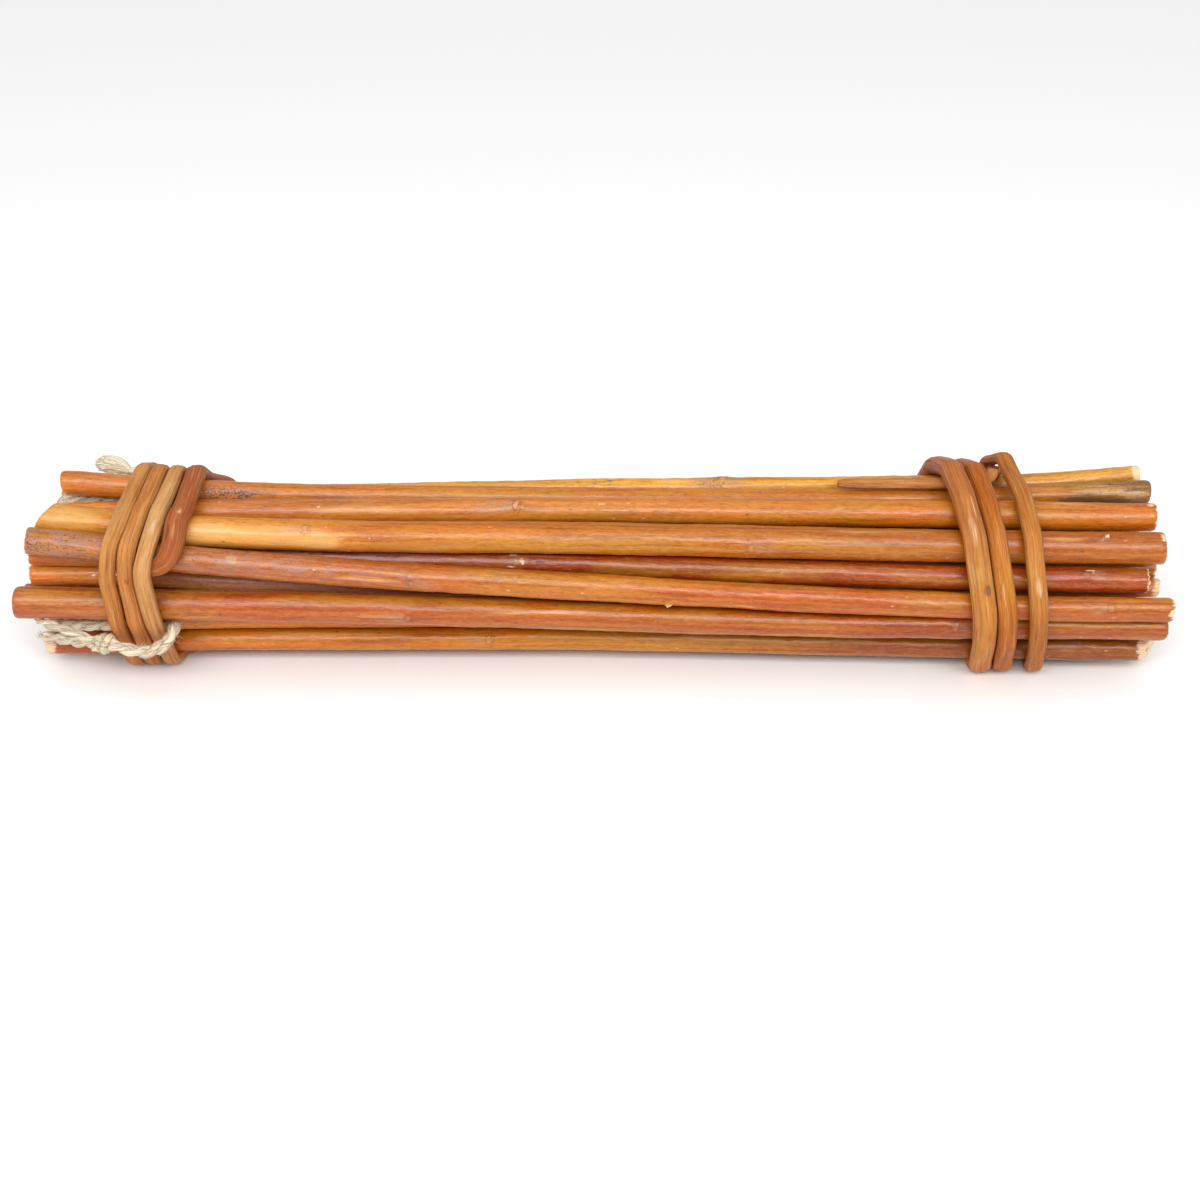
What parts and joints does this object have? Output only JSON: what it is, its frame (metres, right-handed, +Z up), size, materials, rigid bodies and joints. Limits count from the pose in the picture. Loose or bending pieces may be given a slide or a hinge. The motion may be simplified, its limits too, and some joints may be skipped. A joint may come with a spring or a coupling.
{
  "type": "bundle of twigs",
  "caption": "Cylindrical bundle of thin straight willow twigs, bound near each end with wound withies and tied at one end with jute twine.",
  "frame": {"origin": "below the middle of the bundle's length, on the surface that it lies on", "axes": "+X along the twigs, +Z up, -Y towards the near face"},
  "size_m": [0.2328, 0.0477, 0.0401],
  "materials": {
    "bark_honey": "smooth willow bark, yellow to honey brown, satin",
    "bark_orange": "smooth willow bark, orange brown, satin",
    "bark_russet": "smooth willow bark, russet, satin",
    "bark_dark": "smooth willow bark, dark red brown, satin",
    "withy_tan": "stripped and twisted willow withy with long grain, matt to satin",
    "jute": "loosely laid natural jute twine, fuzzy and matt"
  },
  "bodies": {
    "root": {"twig_crest": "bark_honey", "twig_top": "bark_orange", "twig_upper": "bark_orange", "twig_amber": "bark_honey", "twig_dark": "bark_dark", "twig_crossing": "bark_russet", "twig_tucked": "bark_russet", "twig_sliver": "bark_dark", "twig_russet": "bark_russet", "twig_bottom": "bark_orange", "twig_back_1": "bark_orange", "twig_back_2": "bark_russet", "twig_back_3": "bark_honey", "twig_back_4": "bark_orange", "twig_back_5": "bark_dark", "twig_back_6": "bark_orange", "twig_back_7": "bark_russet", "twig_back_8": "bark_honey", "twig_back_9": "bark_orange", "twig_inner_1": "bark_dark", "twig_inner_2": "bark_orange", "twig_inner_3": "bark_russet", "twig_inner_4": "bark_honey", "twig_inner_5": "bark_orange", "twig_inner_6": "bark_dark", "twig_inner_7": "bark_orange", "twig_core_1": "bark_russet", "twig_core_2": "bark_honey", "twig_core_3": "bark_orange", "withy_left": "withy_tan", "withy_right": "withy_tan", "twine": "jute"}
  },
  "joints": []
}
